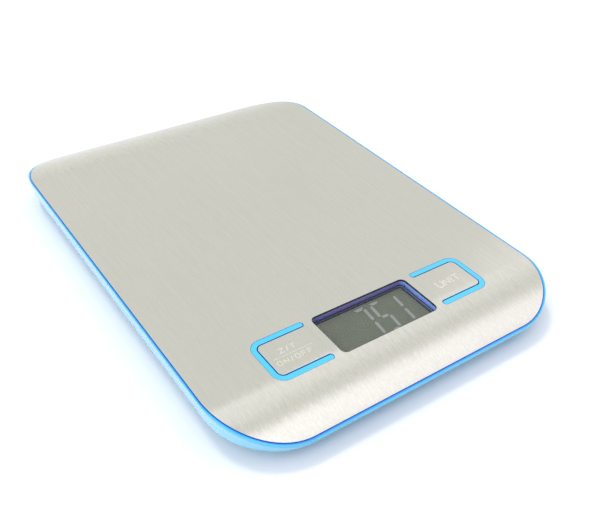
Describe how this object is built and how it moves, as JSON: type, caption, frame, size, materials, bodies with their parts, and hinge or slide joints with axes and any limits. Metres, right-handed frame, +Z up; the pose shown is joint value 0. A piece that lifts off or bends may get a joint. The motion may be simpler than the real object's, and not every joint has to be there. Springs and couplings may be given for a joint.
{
  "type": "digital gram scale",
  "caption": "Slim rectangular digital gram scale: brushed steel platform with bent-down ends, light blue body, recessed display window between two slotted push keys, feet on load cells.",
  "frame": {"origin": "on the supporting surface, under the middle of the body", "axes": "+X to the user's right, +Y away from the user along the scale's length, +Z up"},
  "size_m": [0.18, 0.24, 0.017],
  "materials": {
    "steel_plate": "brushed along the length, satin",
    "blue_plastic": "glossy, light blue",
    "adhesive": "matte",
    "lens": "clear, slightly tinted",
    "foam": "matte",
    "lcd_glass": "satin display glass",
    "white_plastic": "matte",
    "connector_rubber": "matte",
    "board": "solder mask",
    "resin": "glossy drop",
    "components": "matte",
    "switch_body": "matte",
    "cell_steel": "ground",
    "gauge_foil": "foil under clear sealant",
    "pad_rubber": "matte",
    "battery_jacket": "satin jacket",
    "spring_wire": "bright nickel",
    "lead_red": "soft insulation",
    "lead_black": "soft insulation",
    "screw_steel": "zinc plated"
  },
  "bodies": {
    "scale_body": {"platform_plate": "steel_plate", "upper_housing": "blue_plastic", "lower_housing": "blue_plastic", "plate_adhesive": "adhesive", "display_lens": "lens", "lens_gasket": "foam", "lcd_panel": "lcd_glass", "lcd_holder": "white_plastic", "cell_clamps": "white_plastic", "lcd_connector": "connector_rubber", "circuit_board": "board", "controller_chip": "resin", "board_components": "components", "tare_switch": "switch_body", "unit_switch": "switch_body", "load_cell_front_left": "cell_steel", "load_cell_front_right": "cell_steel", "load_cell_back_left": "cell_steel", "load_cell_back_right": "cell_steel", "strain_gauges": "gauge_foil", "battery_1": "battery_jacket", "battery_2": "battery_jacket", "battery_springs": "spring_wire", "battery_contacts": "spring_wire", "cell_leads": "lead_red", "battery_leads": "lead_black", "housing_screws": "screw_steel", "board_screws": "screw_steel", "cell_screws": "screw_steel"},
    "tare_key_tongue": {"tare_key": "steel_plate", "tare_key_arm": "blue_plastic"},
    "unit_key_tongue": {"unit_key": "steel_plate", "unit_key_arm": "blue_plastic"},
    "tare_switch_plunger": {"tare_switch_button": "white_plastic"},
    "unit_switch_plunger": {"unit_switch_button": "white_plastic"},
    "foot_front_left_assembly": {"foot_front_left": "white_plastic", "foot_pad_front_left": "pad_rubber"},
    "foot_front_right_assembly": {"foot_front_right": "white_plastic", "foot_pad_front_right": "pad_rubber"},
    "foot_back_left_assembly": {"foot_back_left": "white_plastic", "foot_pad_back_left": "pad_rubber"},
    "foot_back_right_assembly": {"foot_back_right": "white_plastic", "foot_pad_back_right": "pad_rubber"},
    "door": {"battery_door": "blue_plastic"},
    "door_latch": {"battery_door_latch": "blue_plastic"}
  },
  "joints": [
    {"name": "tare_key_press", "type": "hinge", "parent": "scale_body", "child": "tare_key_tongue", "pos_m": [-0.0305, -0.0836, 0.01675], "axis": [0, -1, 0], "range_deg": [0, 1.25], "stiffness_Nm_per_rad": 1.5},
    {"name": "tare_switch_travel", "type": "slide", "parent": "scale_body", "child": "tare_switch_plunger", "axis": [0, 0, -1], "range_m": [0, 0.0003]},
    {"name": "unit_key_press", "type": "hinge", "parent": "scale_body", "child": "unit_key_tongue", "pos_m": [0.0305, -0.0836, 0.01675], "axis": [0, 1, 0], "range_deg": [0, 1.25], "stiffness_Nm_per_rad": 1.5},
    {"name": "unit_switch_travel", "type": "slide", "parent": "scale_body", "child": "unit_switch_plunger", "axis": [0, 0, -1], "range_m": [0, 0.0003]},
    {"name": "foot_front_left_play", "type": "slide", "parent": "scale_body", "child": "foot_front_left_assembly", "axis": [0, 0, 1], "range_m": [-0.0003, 0]},
    {"name": "foot_front_right_play", "type": "slide", "parent": "scale_body", "child": "foot_front_right_assembly", "axis": [0, 0, 1], "range_m": [-0.0003, 0]},
    {"name": "foot_back_left_play", "type": "slide", "parent": "scale_body", "child": "foot_back_left_assembly", "axis": [0, 0, 1], "range_m": [-0.0003, 0]},
    {"name": "foot_back_right_play", "type": "slide", "parent": "scale_body", "child": "foot_back_right_assembly", "axis": [0, 0, 1], "range_m": [-0.0003, 0]},
    {"name": "battery_door_swing", "type": "hinge", "parent": "scale_body", "child": "door", "pos_m": [0, 0.0332, 0.0023], "axis": [1, 0, 0], "range_deg": [0, 75]},
    {"name": "battery_latch_squeeze", "type": "slide", "parent": "door", "child": "door_latch", "axis": [0, 1, 0], "range_m": [0, 0.0009], "stiffness_N_per_m": 1500}
  ],
  "couplings": [
    {"joint": "tare_switch_travel", "follows": "tare_key_press", "m_per_rad": 0.0135},
    {"joint": "unit_switch_travel", "follows": "unit_key_press", "m_per_rad": 0.0135}
  ]
}
